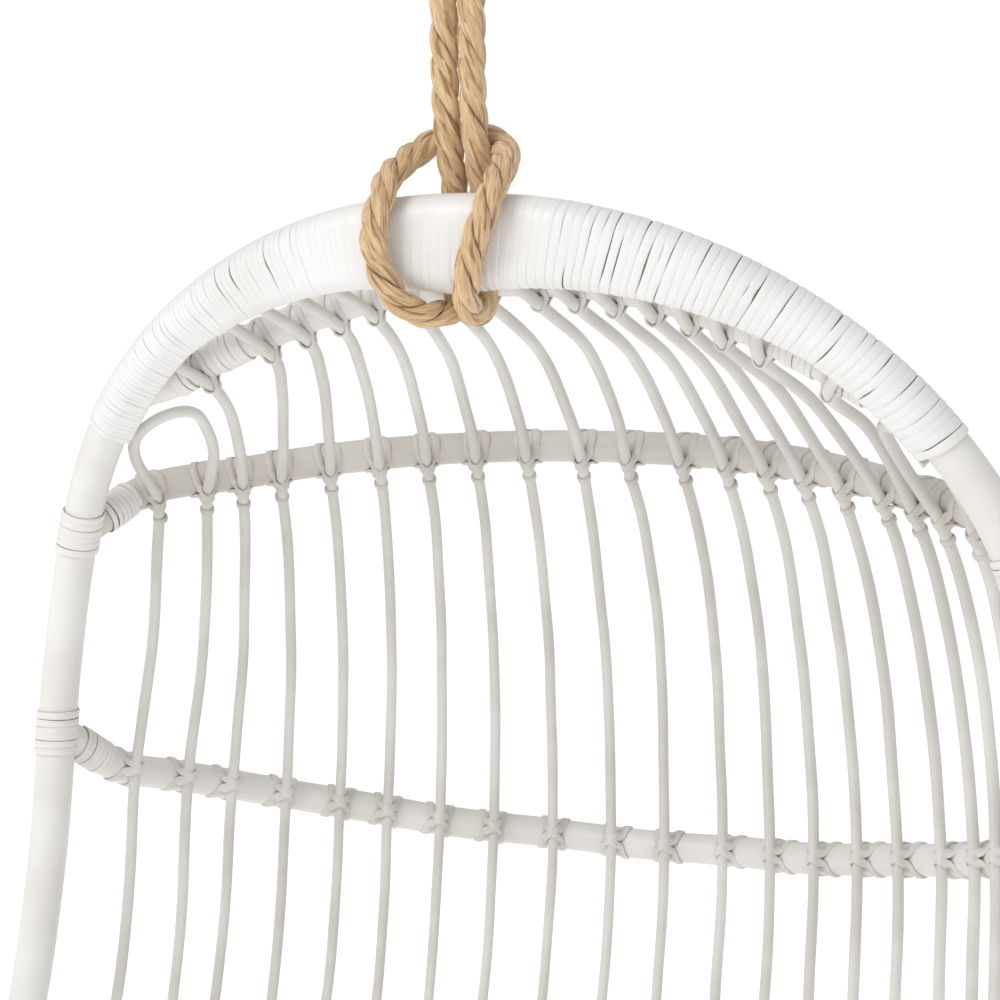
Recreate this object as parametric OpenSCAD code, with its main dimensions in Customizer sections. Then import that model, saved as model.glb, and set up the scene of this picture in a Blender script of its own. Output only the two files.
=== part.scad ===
// Hanging rattan egg chair with its rope, swivel hanger and ceiling plate.
// Millimetres, +Z up, the sitter faces -Y. The origin is the middle of the ceiling plate's upper face.

/* [Frame] */
// Half of the width between the centres of the rim's sides
half_w = 390; // [370:5:410]
// Height of the basket, from the rim's top to its front edge
basket_h = 1000; // [960:10:1040]
// How far the back of the basket lies behind the rim's top
back_depth = 400; // [380:5:420]
// Diameter of the front rim's pole
rim_d = 30; // [28:1:30]
// Diameter of the arch pole behind the rim
arch_d = 25; // [22:1:25]
// Diameter of the hoops round the back and seat
hoop_d = 26; // [24:1:27]
// Diameter of the upright canes
cane_d = 9; // [8:0.5:9.5]
// Thickness of the peel strip that wraps the arch
wrap_t = 1.6; // [1.2:0.1:1.8]
// Thickness of the peel strip in lashings and bindings
peel_t = 1.4; // [1:0.1:1.6]
// Width of one peel strip in a lashing
peel_w = 5; // [4:0.5:6]

/* [Rope] */
// Diameter of the rope
rope_d = 19; // [18:0.5:19]
// Height of the seizing that closes the rope's eye
seizing_h = 34; // [28:2:36]

/* [Hanger] */
// Diameter of the ceiling plate
plate_d = 100; // [96:2:120]
// Thickness of the ceiling plate
plate_t = 6; // [5:1:8]
// Diameter of each of the four screw holes
screw_hole_d = 7; // [5:0.5:8]
// Diameter of the circle that the screw holes lie on
screw_circle_d = 78; // [74:1:80]
// Diameter of the two swing pins
pin_d = 10; // [8:1:10]
// Sideways clearance between the moving pieces of the hanger
play = 0.5; // [0.4:0.1:0.8]

/* [Hidden] */
rim_r = rim_d / 2;
arch_r = arch_d / 2;
hoop_r = hoop_d / 2;
cane_r = cane_d / 2;
rope_r = rope_d / 2;
gap = 0.5;
// The rim's top is this far below the ceiling, in front of the hang line and to its right
rim_drop = 426;
rim_ahead = 8;
rim_aside = 2;
stretch = [half_w / 390, back_depth / 400, basket_h / 1000];

// Half outlines, from the middle of the chair outward to the right: [across, back, up] from the rim's top
rim_arch = [
    [0, 0, 0], [90, 4, -9], [178, 22, -39], [257, 45, -89], [318, 70, -154], [358, 92, -231], [382, 98, -346],
    [389, 84, -490]
];
rim_front = [
    [0, -430, -990], [92, -423, -988], [180, -399, -978], [262, -347, -958], [322, -270, -924],
    [362, -179, -868], [383, -87, -792], [391, -6, -706], [390, 48, -615]
];
arch_line = [[0, 106, -38], [60, 105, -41], [120, 99, -52], [175, 90, -71], [225, 83, -93], [261, 79, -112]];
upper_line = [
    [0, 306, -183], [70, 302, -184], [140, 274, -187], [210, 231, -194], [270, 193, -204], [320, 146, -213],
    [354, 92, -224]
];
lower_line = [
    [0, 400, -521], [76, 396, -518], [150, 359, -507], [220, 321, -491], [280, 281, -475], [330, 206, -449],
    [350, 150, -431], [384, 92, -407]
];
waist_line = [
    [0, 350, -758], [77, 345, -755], [150, 315, -745], [220, 281, -729], [284, 240, -712], [336, 168, -690],
    [362, 112, -673], [391, 29, -648]
];
seat_back_line = [
    [0, 230, -965], [70, 226, -963], [140, 208, -956], [210, 174, -944], [270, 120, -925], [320, 44, -898],
    [352, -35, -868], [374, -129, -829]
];
seat_mid_line = [
    [0, 15, -1042], [75, 11, -1040], [145, -6, -1031], [210, -42, -1014], [262, -90, -990], [304, -154, -958],
    [337, -240, -908]
];
seat_front_line = [
    [0, -225, -1030], [75, -228, -1028], [145, -237, -1020], [200, -252, -1008], [240, -270, -992],
    [274, -284, -968], [302, -298, -937]
];

// Where the canes cross each hoop, from the outermost pair to the middle pair
upper_at = [320, 292, 270, 244, 210, 176, 142, 106, 66, 20];
lower_at = [349, 331, 310, 280, 242, 206, 166, 124, 77, 24];
waist_at = [360, 337, 316, 284, 246, 208, 168, 126, 78, 25];
seat_back_at = [345, 322, 294, 263, 229, 194, 156, 116, 73, 24];
seat_mid_at = [0, 0, 284, 254, 223, 190, 153, 114, 72, 24];
seat_front_at = [0, 0, 0, 238, 214, 184, 150, 113, 72, 24];
front_at = [355, 320, 274, 244, 214, 184, 151, 113, 72, 24];
arch_at = [0, 0, 241, 192, 164, 138, 110, 79, 49, 20];

hoop_reach = hoop_r + cane_r + gap;
arch_reach = arch_r + cane_r + gap;
rim_reach = rim_r + cane_r + gap;
end_gap = rim_r + 8.8;
filler_most_r = 16.4;
filler_end_x = 240;
wrap_end_x = 314;
wrap_gap = 1.1;
arch_binding_at = 218;
lash_gap = 2.1;

// Hanger heights, downward from the ceiling
swing_pin_z = -38;
yoke_top_z = -60;
yoke_low_z = -95;
fork_top_z = -99;
eye_z = -162;
eye_r = 38;
eye_half_w = 13;
tongue_half_w = 8;
cheek_t = 6;
stem_r = 5;

// ---- vectors and curves ----

function unit(v) = v / norm(v);

function across(v, along) = unit(v - (v * along) * along);

function flipped(p) = [-p.x, p.y, p.z];

// From the basket's own lines to the part's frame
function placed(p) =
    [p.x * stretch.x, p.y * stretch.y, p.z * stretch.z] + [rim_aside, -rim_ahead, -rim_drop];

function curve_point(a, b, c, d, t) =
    0.5 * (2 * b + (c - a) * t + (2 * a - 5 * b + 4 * c - d) * t * t + (3 * b - a - 3 * c + d) * t * t * t);

function before(pts) = 2 * pts[0] - pts[1];

function after(pts) = 2 * pts[len(pts) - 1] - pts[len(pts) - 2];

// A smooth curve through the points, with that many steps between each two
function smooth(pts, steps) =
    let (p = concat([before(pts)], pts, [after(pts)]))
    concat(
        [for (i = [1 : len(pts) - 1], k = [0 : steps - 1])
            curve_point(p[i - 1], p[i], p[i + 1], p[i + 2], k / steps)],
        [pts[len(pts) - 1]]
    );

function smooth_loop(pts, steps) =
    let (n = len(pts))
    [for (i = [0 : n - 1], k = [0 : steps - 1])
        curve_point(pts[(i + n - 1) % n], pts[i], pts[(i + 1) % n], pts[(i + 2) % n], k / steps)];

function reversed(pts) = [for (i = [len(pts) - 1 : -1 : 0]) pts[i]];

// The whole outline, from left to right, of a half outline that starts in the middle
function both_sides(half) = concat([for (i = [len(half) - 1 : -1 : 1]) flipped(half[i])], half);

function way(path, i) = unit(path[min(i + 1, len(path) - 1)] - path[max(i - 1, 0)]);

function loop_way(path, i) = unit(path[(i + 1) % len(path)] - path[(i + len(path) - 1) % len(path)]);

// A side vector at each point of a path, carried along it without twist
function carried(path, start) =
    [for (i = 0, v = across(start, way(path, 0)); i < len(path); i = i + 1,
        v = i < len(path) ? across(v, way(path, i)) : v) v];

function ring(centre, along, side, r, sides) =
    let (third = cross(along, side))
    [for (k = [0 : sides - 1]) centre + r * (cos(360 * k / sides) * side + sin(360 * k / sides) * third)];

// The point of a half outline that lies that far across
function at(half, x) =
    let (fine = smooth(half, 12))
    [x, lookup(x, [for (p = fine) [p.x, p.y]]), lookup(x, [for (p = fine) [p.x, p.z]])];

function along_at(half, x) = unit(at(half, x + 4) - at(half, x - 4));

// ---- solids from rings ----

function walls(rings, sides, offset = 0, flip = false) =
    [for (i = [0 : rings - 2], k = [0 : sides - 1])
        let (a = offset + i * sides + k, b = offset + i * sides + (k + 1) % sides)
        each flip
            ? [[a, b, a + sides], [b, b + sides, a + sides]]
            : [[a, a + sides, b], [b, a + sides, b + sides]]];

function lid(first, sides, flip) =
    [for (k = [1 : sides - 2]) flip ? [first, first + k + 1, first + k] : [first, first + k, first + k + 1]];

// A solid rod through rings of points
module rod(rings) {
    sides = len(rings[0]);
    polyhedron(
        points = [for (r = rings) each r],
        faces = concat(
            walls(len(rings), sides),
            lid(0, sides, false),
            lid((len(rings) - 1) * sides, sides, true)
        )
    );
}

// A round pole along a path; r is one radius or a list with one for each point
module pole(path, r, sides, start) {
    side = carried(path, start);
    rod([for (i = [0 : len(path) - 1])
        ring(path[i], way(path, i), side[i], is_list(r) ? r[i] : r, sides)]);
}

// A round pole that closes on itself; flat is a direction that it never runs along
module closed_pole(path, r, sides, flat) {
    n = len(path);
    rings = [for (i = [0 : n - 1])
        let (along = loop_way(path, i))
        ring(path[i], along, across(flat, along), r, sides)];
    polyhedron(
        points = [for (q = rings) each q],
        faces = [for (i = [0 : n - 1], k = [0 : sides - 1])
            let (j = (i + 1) % n, a = i * sides + k, b = i * sides + (k + 1) % sides)
            each [[a, j * sides + k, b], [b, j * sides + k, j * sides + (k + 1) % sides]]]
    );
}

// A hollow sleeve between outer and inner rings of the same number of points
module sleeve(outer, inner) {
    sides = len(outer[0]);
    n = len(outer);
    inside = n * sides;
    last = (n - 1) * sides;
    polyhedron(
        points = concat([for (r = outer) each r], [for (r = inner) each r]),
        faces = concat(
            walls(n, sides),
            walls(n, sides, inside, true),
            [for (k = [0 : sides - 1])
                let (m = (k + 1) % sides)
                each [[k, m, inside + k], [m, inside + m, inside + k],
                      [last + k, inside + last + k, last + m],
                      [last + m, inside + last + k, inside + last + m]]]
        )
    );
}

// Turns its children so that their Z runs along a direction that isn't straight up or down
module aim(place, along) {
    translate(place)
        rotate([0, acos(along.z), atan2(along.y, along.x)])
            children();
}

// A flat strip closed into a ring round the Z axis
module strip_ring(inner_r, thick, wide) {
    rotate_extrude($fn = 48)
        translate([inner_r, -wide / 2])
            square([thick, wide]);
}

// ---- the basket's lines ----

rim_half = concat(rim_arch, reversed(rim_front));
rim_left = [for (i = [len(rim_half) - 2 : -1 : 1]) flipped(rim_half[i])];
rim_line = smooth_loop(concat(rim_half, rim_left), 3);
rim_path = [for (p = rim_line) placed(p)];
arch_path = [for (p = smooth(both_sides(rim_arch), 3)) placed(p)];

// Direction from a point of a hoop's row toward the inside of the basket
function inward(line, x, centre) =
    let (p = at(line, x), t = along_at(line, x))
    across(centre - p, t);

back_centre = [0, 60, -420];
seat_centre = [0, 40, -560];

// Index of the rim's ring that lies nearest to a point
function rim_ring(p) =
    let (away = [for (q = rim_line) norm(q - p)])
    search(min(away), away)[0];

// The hoop's own centreline, outside the canes; its ends stop short of the rim
function hoop_half(line, centre) =
    let (n = len(line), join = rim_line[rim_ring(line[n - 1])],
         body = [for (i = [0 : n - 2]) line[i] - hoop_reach * inward(line, line[i].x, centre)])
    concat(body, [join + end_gap * unit(body[n - 2] - join)]);

function hoop_path(line, centre) = [for (p = smooth(both_sides(hoop_half(line, centre)), 3)) placed(p)];

module hoop(line, centre) {
    color("white")
        let (path = hoop_path(line, centre), last = len(path) - 1)
            pole(path, [for (i = [0 : last]) i == 0 || i == last ? 0.5 * hoop_r : hoop_r], 10, [0, 0, 1]);
}

// ---- canes ----

upper = 0;
lower = 1;
waist = 2;
seat_back = 3;
seat_mid = 4;
seat_front = 5;
lines = [upper_line, lower_line, waist_line, seat_back_line, seat_mid_line, seat_front_line];
crossings = [upper_at, lower_at, waist_at, seat_back_at, seat_mid_at, seat_front_at];
centres = [back_centre, back_centre, seat_centre, seat_centre, seat_centre, seat_centre];

// Where a cane's end lies on the inner upper side of the rim's front
function front_rest(i) =
    at(rim_front, front_at[i])
    + rim_reach * across([-front_at[i] / 400, 0.4, 0.8], along_at(rim_front, front_at[i]));

function front_tip(i) = front_rest(i) + 14 * unit(front_rest(i) - row_point(last_row(i), i));

function row_point(row, i) = at(lines[row], crossings[row][i]);

// The last row that a cane crosses before the rim's front
function last_row(i) = max([for (row = [waist : seat_front]) if (crossings[row][i] > 0) row]);

// How far a cane bows out halfway to each row, from the waist onward, and halfway to the rim's front
row_bow = [[0, 8, 0], [0, 16, -8], [0, 6, -17], [0, -1, -12]];
front_bow = [0, -2, -9];
loop_front_bow = [0, -4, -22];

function halfway(a, b) = (a + b) / 2;

// The lower part of a cane, from the upper hoop down the back and under the seat to the rim's front
function cane_down(i) = concat(
    [row_point(upper, i)],
    [row_point(upper, i) * 0.8 + row_point(lower, i) * 0.2 + [6 - 0.4 * i, 15 + i, 0]],
    [row_point(upper, i) * 0.45 + row_point(lower, i) * 0.55 + [7 - 0.5 * i, 20 + i, 0]],
    [row_point(lower, i)],
    [for (row = [waist : last_row(i)])
        each [halfway(row_point(row - 1, i), row_point(row, i)) + row_bow[row - waist], row_point(row, i)]],
    [halfway(row_point(last_row(i), i), front_rest(i)) + (i < 2 ? loop_front_bow : front_bow)],
    [front_rest(i), front_tip(i)]
);

// The upper part, from the rim's arch back over the arch pole to the upper hoop
function under_arch(i) = across([0, 0, -1], along_at(arch_line, arch_at[i]));

function arch_rest(i) = at(arch_line, arch_at[i]) + arch_reach * under_arch(i);

// How far a cane bellies out behind the arch, more for the middle ones
function belly(i) = [0, 10 + 3.5 * max(0, i - 5), 11 + 1.2 * max(0, i - 5)];

function cane_tip(i) = [
    arch_rest(i).x,
    at(rim_arch, arch_at[i]).y + (i < 9 ? 25 : 42),
    arch_rest(i).z + min(10, 3 * i - 9)
];

function cane_up(i) =
    let (rest = arch_rest(i), top = row_point(upper, i))
    [cane_tip(i), rest, rest * 0.62 + top * 0.38 + belly(i), rest * 0.25 + top * 0.75 + 0.7 * belly(i)];

function cane_points(i) = concat(cane_up(i), cane_down(i));

function sided(pts, side) = [for (p = pts) placed([p.x * side, p.y, p.z])];

module cane(i, side) {
    color("white")
        pole(sided(smooth(cane_points(i), 2), side), cane_r, 6, [1, 0, 0]);
}

// The outer two canes at each side are one cane, bent over in a loop behind the rim
loop_top = [
    [318, 128, -194], [313, 102, -175], [304, 87, -158], [289, 86, -145], [271, 93, -137], [263, 109, -139],
    [266, 132, -154], [273, 152, -172], [285, 167, -194]
];

module loop_cane(side) {
    pts = concat(reversed(cane_down(0)), loop_top, cane_down(1));
    color("white")
        pole(sided(smooth(pts, 2), side), cane_r, 6, [0, 1, 0]);
}

// ---- the wrapped arch ----

function off_middle(i) = abs(arch_path[i].x - rim_aside) / stretch.x;

function filler_r(i) = max(2, filler_most_r * (1 - 0.88 * off_middle(i) / filler_end_x));

// Direction from the rim's arch toward the inside of the arch
function down_at(i) = unit(cross([0, 1, 0], way(arch_path, i)));

// The outline round two circles, the second one d away along the direction down
function oval(centre, down, side, big, small, d, points) =
    let (lean = asin((big - small) / d), half = points / 2)
    concat(
        [for (k = [0 : half - 1])
            let (a = -lean + k * (180 + 2 * lean) / (half - 1))
            centre + big * (cos(a) * side - sin(a) * down)],
        [for (k = [0 : half - 1])
            let (a = 180 + lean + k * (180 - 2 * lean) / (half - 1))
            centre + d * down + small * (cos(a) * side - sin(a) * down)]
    );

wrap_stations = [for (i = [0 : len(arch_path) - 1]) if (off_middle(i) <= wrap_end_x) i];

function wrap_ring(i, grow) =
    let (r = filler_r(i), down = down_at(i))
    oval(arch_path[i], down, cross(way(arch_path, i), down), rim_r + grow, r + grow, rim_r + r + gap, 16);

filler_stations = [for (i = wrap_stations) if (off_middle(i) <= filler_end_x) i];

// ---- lashings and bindings ----

// The outline of a belt round a pole and the cane on its inner side, seen along the belt's slanting axis
function belt(r, grow, stretched) =
    [for (p = oval([0, 0, 0], [0, 1, 0], [1, 0, 0], r + grow, cane_r + grow, r + cane_r + gap, 12))
        [p.x * stretched + sign(p.x) * peel_w / 2 * sqrt(stretched * stretched - 1), p.y]];

// Turns its children so that Z runs along one direction and Y along another, square to it
module turned(place, along, third) {
    side = cross(third, along);
    multmatrix([
        [side.x, third.x, along.x, place.x],
        [side.y, third.y, along.y, place.y],
        [side.z, third.z, along.z, place.z]
    ])
        children();
}

function sided_way(v, side) = [v.x * side, v.y, v.z];

// A peel strip tied aslant round a pole, which runs along a, and the cane that crosses it along b
module lashing(pole_at, cane_at, a, b, r, side, slack = 0) {
    inside = across(cane_at - pole_at, a);
    slant = unit(a + across(b, inside));
    belt_stretch = 1 / (a * slant);
    turned(sided([pole_at], side)[0], sided_way(slant, side), sided_way(inside, side))
        translate([0, 0, -peel_w / 2])
            linear_extrude(height = peel_w)
                difference() {
                    polygon(belt(r, lash_gap + slack + peel_t, belt_stretch));
                    polygon(belt(r, lash_gap + slack, belt_stretch));
                }
}

// Direction of a cane where it crosses a row
function cane_way(row, i) =
    let (path = smooth(i < 2 ? concat([loop_top[i]], cane_down(i)) : cane_points(i), 2),
         away = [for (q = path) norm(q - row_point(row, i))])
    way(path, search(min(away), away)[0]);

module row_lashings(row) {
    path = smooth(hoop_half(lines[row], centres[row]), 12);
    color("white")
        for (i = [0 : 9], side = [-1, 1]) {
            if (crossings[row][i] > 0) {
                cane_at = row_point(row, i);
                away = [for (q = path) norm(q - cane_at)];
                k = search(min(away), away)[0];
                a = way(path, k);
                pole_at = path[k] + ((cane_at - path[k]) * a) * a;
                lashing(pole_at, cane_at, a, cane_way(row, i), hoop_r, side, i == 0 ? 1.4 : 0);
            }
        }
}

module front_lashings() {
    color("white")
        for (i = [0 : 9], side = [-1, 1]) {
            a = along_at(rim_front, front_at[i]);
            b = unit(front_rest(i) - row_point(last_row(i), i));
            lashing(at(rim_front, front_at[i]), front_rest(i), a, a * b < 0 ? -b : b, rim_r, side);
        }
}

module arch_lashings() {
    color("white")
        for (i = [2 : 9], side = [-1, 1]) {
            a = along_at(arch_line, arch_at[i]);
            b = unit(arch_rest(i) - cane_tip(i));
            lashing(at(arch_line, arch_at[i]), arch_rest(i), a, b, arch_r, side, -0.5);
        }
}

// Peel wound round the rim and round the end of the hoop that meets it
module binding(row, side) {
    path = hoop_path(lines[row], centres[row]);
    k = rim_ring(lines[row][len(lines[row]) - 1]);
    end = path[len(path) - 1];
    hoop_way = unit(path[len(path) - 2] - end);
    aim(sided([rim_line[k]], side)[0], sided_way(loop_way(rim_line, k), side))
        strip_ring(rim_r + 1.8, 1.6, row < waist ? 32 : 24);
    aim(side > 0 ? end + 11 * hoop_way : mirrored(end + 11 * hoop_way), sided_way(hoop_way, side))
        strip_ring(hoop_r + 1.4, 1.6, row < waist ? 16 : 12);
}

// The same place on the chair's other side
function mirrored(p) = [2 * rim_aside - p.x, p.y, p.z];

module hoop_bindings() {
    color("white")
        for (row = [upper : seat_front], side = [-1, 1]) {
            binding(row, side);
        }
}

// Peel wound round the arch pole near each of its ends
module arch_bindings() {
    color("white")
        for (side = [-1, 1]) {
            along = sided_way(along_at(arch_line, arch_binding_at), side);
            aim(sided([at(arch_line, arch_binding_at)], side)[0], along)
                strip_ring(arch_r + 1, 1.6, 8);
        }
}

// ---- frame ----

module rim() {
    color("white")
        closed_pole(rim_path, rim_r, 10, [0, 1, 0]);
}

module arch_filler() {
    color("white")
        pole(
            [for (i = filler_stations) arch_path[i] + (rim_r + gap + filler_r(i)) * down_at(i)],
            [for (i = filler_stations) filler_r(i)],
            10,
            [0, 1, 0]
        );
}

module arch_wrap() {
    color("white")
        sleeve(
            [for (i = wrap_stations) wrap_ring(i, wrap_gap + wrap_t)],
            [for (i = wrap_stations) wrap_ring(i, wrap_gap)]
        );
}

module back_arch() {
    color("white")
        pole([for (p = smooth(both_sides(arch_line), 3)) placed(p)], arch_r, 10, [0, 0, 1]);
}

// ---- rope ----

// Half of the eye round the thimble, from its top down to the seizing
eye_half = [
    [0.3, 0, 38], [14, 0, 35.3], [26, 0, 27.7], [34.5, 0, 16], [38, 0, 1], [35.5, 0, -13.5], [28, 0, -29],
    [19.5, 0, -46], [12.5, 0, -60], [9.8, 0, -72]
];
// The cow hitch round the rim's top, from the left standing part to the right one
hitch = [
    [-9.8, 0, 150], [-9.8, 1, 100], [-9.8, 4, 68], [-9.8, 11, 42], [-9.8, 19, 18], [-9.8, 20.5, -4],
    [-9.8, 20.5, -32], [-8.5, 15, -56], [-11.5, 3, -62], [-19, -12, -63], [-28, -26, -56.5], [-35, -35, -45],
    [-42, -37, -29], [-44, -37, -14], [-43, -36.5, 0], [-41, -32, 13], [-41, -20, 27], [-40, -3, 36],
    [-36, 13, 45], [-26, 24, 53], [-8, 30, 57], [9, 30, 55], [24, 20, 48], [33, 4, 39], [37, -14, 30],
    [37, -32, 15], [33, -37.5, -2], [28, -37.5, -15], [24.5, -37, -28], [21.5, -35.5, -44], [17, -23, -58],
    [15, -5, -62], [14, 12, -56], [12, 20, -36], [10, 20.5, -12], [9.8, 19, 18], [9.8, 11, 42],
    [9.8, 4, 68], [9.8, 1, 100], [9.8, 0, 150]
];
rope_route = concat(
    [for (p = eye_half) [-p.x, p.y, p.z + eye_z]],
    [for (p = hitch) [p.x, p.y, p.z - rim_drop]],
    [for (p = reversed(eye_half)) [p.x, p.y, p.z + eye_z]]
);

module hanging_rope() {
    color("tan")
        pole(rope_route, rope_r, 10, [0, 1, 0]);
}

// A round-ended block that holds both parts of the rope
module both_parts(r, h) {
    for (side = [-1, 1]) {
        translate([side * (rope_r + 0.3), 0, 0])
            cylinder(r = r, h = h, $fn = 48);
    }
    translate([-rope_r, -r, 0])
        cube([rope_d, 2 * r, h]);
}

module rope_seizing() {
    color("tan")
        translate([0, 0, eye_z - 74 - seizing_h])
            difference() {
                both_parts(rope_r + 2.6, seizing_h);
                translate([0, 0, -1])
                    both_parts(rope_r + 0.4, seizing_h + 2);
            }
}

// ---- hanger ----

// A lug in the YZ plane, round at the pin and square at its other end
module cheek(half_width, thick, end_z, pin_z) {
    translate([-thick / 2, -half_width, min(end_z, pin_z)])
        cube([thick, 2 * half_width, abs(end_z - pin_z)]);
    translate([-thick / 2, 0, pin_z])
        rotate([0, 90, 0])
            cylinder(r = half_width, h = thick, $fn = 64);
}

// A pin along X with a head at each end
module headed_pin(length, d) {
    rotate([0, 90, 0]) {
        cylinder(d = d, h = length, center = true, $fn = 48);
        for (side = [-1, 1]) {
            translate([0, 0, side * (length / 2 + 1.9)])
                cylinder(d = d + 6, h = 4, center = true, $fn = 48);
        }
    }
}

module ceiling_plate() {
    color("silver")
        difference() {
            union() {
                translate([0, 0, -plate_t])
                    cylinder(d = plate_d, h = plate_t, $fn = 96);
                for (side = [-1, 1]) {
                    translate([side * (tongue_half_w + play + cheek_t / 2), 0, 0])
                        cheek(13, cheek_t, -plate_t + 1, swing_pin_z);
                }
            }
            for (turn = [45 : 90 : 315]) {
                rotate([0, 0, turn])
                    translate([screw_circle_d / 2, 0, -plate_t - 1])
                        cylinder(d = screw_hole_d, h = plate_t + 2, $fn = 32);
            }
            translate([0, 0, swing_pin_z])
                rotate([0, 90, 0])
                    cylinder(d = pin_d + 0.3, h = 60, center = true, $fn = 48);
        }
}

module swing_pin() {
    color("silver")
        translate([0, 0, swing_pin_z])
            headed_pin(2 * (tongue_half_w + play + cheek_t) + 0.4, pin_d);
}

module hanger_yoke() {
    color("silver")
        difference() {
            union() {
                cheek(13, 2 * tongue_half_w, yoke_top_z, swing_pin_z);
                translate([0, 0, yoke_top_z - 6])
                    cylinder(r = 17, h = 6, $fn = 64);
                for (side = [-1, 1]) {
                    translate([side * 13, 0, yoke_low_z])
                        cylinder(r = 3.4, h = yoke_top_z - yoke_low_z, $fn = 32);
                }
                translate([0, 0, yoke_low_z])
                    cylinder(r = 17, h = 6, $fn = 64);
            }
            translate([0, 0, swing_pin_z])
                rotate([0, 90, 0])
                    cylinder(d = pin_d + 0.8, h = 60, center = true, $fn = 48);
            translate([0, 0, yoke_low_z - 1])
                cylinder(r = stem_r + 0.4, h = 8, $fn = 48);
        }
}

module swivel_nut() {
    color("silver")
        translate([0, 0, yoke_low_z + 6.4])
            difference() {
                cylinder(r = 8.8, h = 8, $fn = 6);
                translate([0, 0, -1])
                    cylinder(r = stem_r + 0.1, h = 10, $fn = 48);
            }
}

module swivel_fork() {
    color("silver")
        difference() {
            union() {
                translate([0, 0, fork_top_z])
                    cylinder(r = stem_r, h = yoke_low_z + 18 - fork_top_z, $fn = 48);
                translate([-12, -(eye_half_w + play + cheek_t), fork_top_z - 10])
                    cube([24, 2 * (eye_half_w + play + cheek_t), 10]);
                for (side = [-1, 1]) {
                    translate([0, side * (eye_half_w + play + cheek_t / 2), 0])
                        rotate([0, 0, 90])
                            cheek(12, cheek_t, fork_top_z - 5, eye_z);
                }
            }
            translate([0, 0, eye_z])
                rotate([90, 0, 0])
                    cylinder(d = pin_d + 0.3, h = 60, center = true, $fn = 48);
        }
}

module eye_pin() {
    color("silver")
        translate([0, 0, eye_z])
            rotate([0, 0, 90])
                headed_pin(2 * (eye_half_w + play + cheek_t) + 0.4, pin_d);
}

// The solid thimble that the rope's eye lies round: half its outline, with the groove
thimble_side = [
    [pin_d / 2 + 0.4, eye_half_w], [eye_r - 4, eye_half_w], [eye_r - 3, rope_r + 1.6], [eye_r - 5, 9.2],
    [eye_r - 7.5, 7], [eye_r - 9.4, 4], [eye_r - rope_r - 0.6, 0]
];

module rope_thimble() {
    color("silver")
        translate([0, 0, eye_z])
            rotate([90, 0, 0])
                rotate_extrude($fn = 96)
                    polygon(concat(
                        thimble_side,
                        [for (p = reversed(thimble_side)) if (p.y > 0) [p.x, -p.y]]
                    ));
}

ceiling_plate();
swing_pin();
hanger_yoke();
swivel_fork();
swivel_nut();
eye_pin();
rope_thimble();
hanging_rope();
rope_seizing();
rim();
arch_filler();
arch_wrap();
back_arch();
hoop(upper_line, back_centre);  // upper_hoop
hoop(lower_line, back_centre);  // lower_hoop
hoop(waist_line, seat_centre);  // waist_hoop
hoop(seat_back_line, seat_centre);  // seat_back_hoop
hoop(seat_mid_line, seat_centre);  // seat_mid_hoop
hoop(seat_front_line, seat_centre);  // seat_front_hoop
hoop_bindings();
arch_bindings();
arch_lashings();
row_lashings(upper);  // upper_lashings
row_lashings(lower);  // lower_lashings
row_lashings(waist);  // waist_lashings
row_lashings(seat_back);  // seat_back_lashings
row_lashings(seat_mid);  // seat_mid_lashings
row_lashings(seat_front);  // seat_front_lashings
front_lashings();
loop_cane(-1);  // loop_cane_left
loop_cane(1);  // loop_cane_right
cane(2, -1);  // cane_left_3
cane(3, -1);  // cane_left_4
cane(4, -1);  // cane_left_5
cane(5, -1);  // cane_left_6
cane(6, -1);  // cane_left_7
cane(7, -1);  // cane_left_8
cane(8, -1);  // cane_left_9
cane(9, -1);  // cane_left_10
cane(2, 1);  // cane_right_3
cane(3, 1);  // cane_right_4
cane(4, 1);  // cane_right_5
cane(5, 1);  // cane_right_6
cane(6, 1);  // cane_right_7
cane(7, 1);  // cane_right_8
cane(8, 1);  // cane_right_9
cane(9, 1);  // cane_right_10
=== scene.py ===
"""Looks of the hanging egg chair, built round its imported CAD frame. Lengths are in metres, +Z up."""

import math

import bpy
import numpy as np
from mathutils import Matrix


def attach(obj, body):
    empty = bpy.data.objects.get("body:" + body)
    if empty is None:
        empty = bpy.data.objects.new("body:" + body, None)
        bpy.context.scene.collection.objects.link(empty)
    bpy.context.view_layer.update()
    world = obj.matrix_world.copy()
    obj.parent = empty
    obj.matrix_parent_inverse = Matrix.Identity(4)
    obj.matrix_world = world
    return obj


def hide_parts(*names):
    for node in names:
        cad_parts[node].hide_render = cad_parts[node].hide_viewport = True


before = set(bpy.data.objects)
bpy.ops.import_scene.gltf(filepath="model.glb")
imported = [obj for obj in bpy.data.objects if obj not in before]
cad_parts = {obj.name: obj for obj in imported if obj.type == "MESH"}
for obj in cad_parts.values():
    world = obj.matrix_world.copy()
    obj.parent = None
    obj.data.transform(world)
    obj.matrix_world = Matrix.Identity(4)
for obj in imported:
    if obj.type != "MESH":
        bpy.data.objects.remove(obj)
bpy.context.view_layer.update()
rng = np.random.default_rng(11)

MM = 0.001

# ---- camera ----

camera_data = bpy.data.cameras.new("camera")
camera_data.lens = 72
camera_data.sensor_width = 36
camera_data.clip_end = 100
camera = bpy.data.objects.new("camera", camera_data)
camera.location = (0.5237, -1.2333, -0.4886)
camera.rotation_euler = (math.radians(90 - 5.3224), 0, math.radians(21.8127))
bpy.context.scene.collection.objects.link(camera)
bpy.context.scene.camera = camera

# ---- sizes and lines, in mm, the same as in the CAD ----

RIM_R = 15
ARCH_R = 12.5
HOOP_R = 13
CANE_R = 4.5
ROPE_D = 19
GAP = 0.5
EYE_Z = -162
RIM_TOP = np.array([2.0, -8.0, -426.0])

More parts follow.
